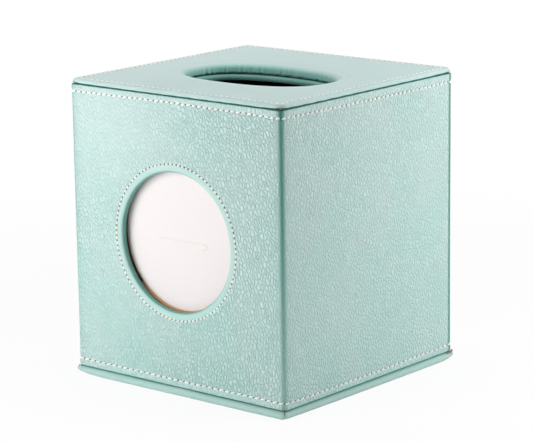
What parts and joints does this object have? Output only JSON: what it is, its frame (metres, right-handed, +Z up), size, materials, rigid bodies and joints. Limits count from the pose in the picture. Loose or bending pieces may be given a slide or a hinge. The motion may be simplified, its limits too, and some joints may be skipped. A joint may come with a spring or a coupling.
{
  "type": "tissue box cover",
  "caption": "Square leather-covered cover for a cube tissue box, with a rolled slot on top, a round front window and a hinged base.",
  "frame": {"origin": "middle of the base's underside, on the surface it stands on", "axes": "+Z up, -Y towards the wall with the round window, +X to the right of someone who faces the window"},
  "size_m": [0.1326, 0.1326, 0.145],
  "materials": {
    "leather": "soft pebbled grain, satin",
    "base_leather": "soft pebbled grain, satin",
    "thin_leather": "skived thin leather, satin",
    "board": "pressed grey board",
    "kraft": "brown kraft board, raw cut edge",
    "card": "smooth white card",
    "lining": "dark woven lining cloth",
    "magnet": "plated"
  },
  "bodies": {
    "base": {"base_leather": "base_leather", "base_board": "board", "base_lining": "lining", "base_magnet_left": "magnet", "base_magnet_right": "magnet", "hinge_strip": "base_leather"},
    "cover": {"front_board": "board", "back_board": "board", "left_board": "board", "right_board": "board", "top_board": "board", "top_card": "card", "top_leather": "leather", "side_leather": "leather", "window_mount": "kraft", "window_card": "card", "front_lining": "lining", "back_lining": "lining", "left_lining": "lining", "right_lining": "lining", "ceiling_board": "board", "slot_trim": "thin_leather", "ceiling_lining": "lining", "wall_magnet_left": "magnet", "wall_magnet_right": "magnet"}
  },
  "joints": [
    {"name": "cover_tilt", "type": "hinge", "parent": "base", "child": "cover", "pos_m": [0, 0.0657, 0.0046], "axis": [-1, 0, 0], "range_deg": [0, 90], "deforming": ["hinge_strip"]}
  ]
}
